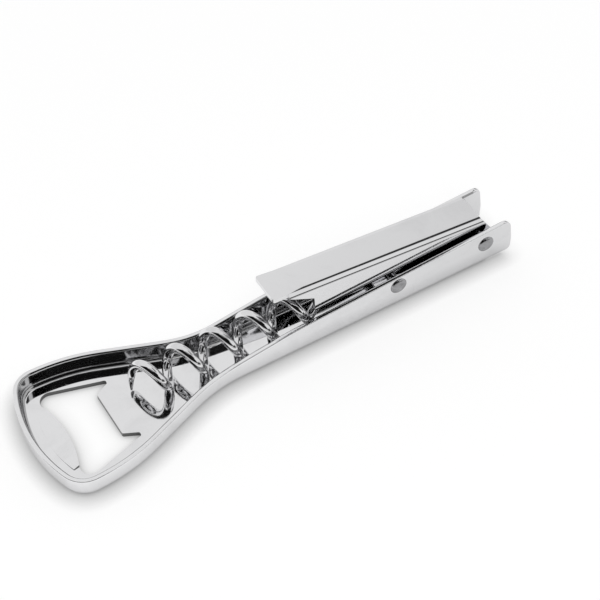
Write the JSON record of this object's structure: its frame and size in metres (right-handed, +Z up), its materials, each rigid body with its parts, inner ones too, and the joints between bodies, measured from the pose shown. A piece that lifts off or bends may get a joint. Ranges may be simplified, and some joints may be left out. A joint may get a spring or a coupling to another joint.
{
  "type": "corkscrew",
  "caption": "Pressed sheet waiter's corkscrew: channel handle with a crown cap opener head, folding bottle lever and wire worm on riveted pivots.",
  "frame": {"origin": "middle of the object's box, on the flat underside of the handle's floor", "axes": "+X along the handle towards the pivot end, +Z up out of the channel, +Y across it"},
  "size_m": [0.12, 0.0328, 0.0188],
  "materials": {
    "handle_sheet": "bright chrome plate on pressed steel",
    "lever_sheet": "bright chrome plate on pressed steel",
    "worm_wire": "bright chrome plate on steel wire",
    "rivets": "dull grey steel"
  },
  "bodies": {
    "handle": {"handle": "handle_sheet", "lever_rivet": "rivets", "worm_rivet": "rivets"},
    "lever": {"lever": "lever_sheet"},
    "worm": {"worm": "worm_wire"}
  },
  "joints": [
    {"name": "lever_hinge", "type": "hinge", "parent": "handle", "child": "lever", "pos_m": [0.0525, 0, 0.00725], "axis": [0, 1, 0], "range_deg": [0, 165]},
    {"name": "worm_hinge", "type": "hinge", "parent": "handle", "child": "worm", "pos_m": [0.0285, 0, 0.00725], "axis": [0, 1, 0], "range_deg": [0, 91]}
  ],
  "couplings": [
    {"joint": "worm_hinge", "follows": "lever_hinge", "ratio": 0.55}
  ]
}
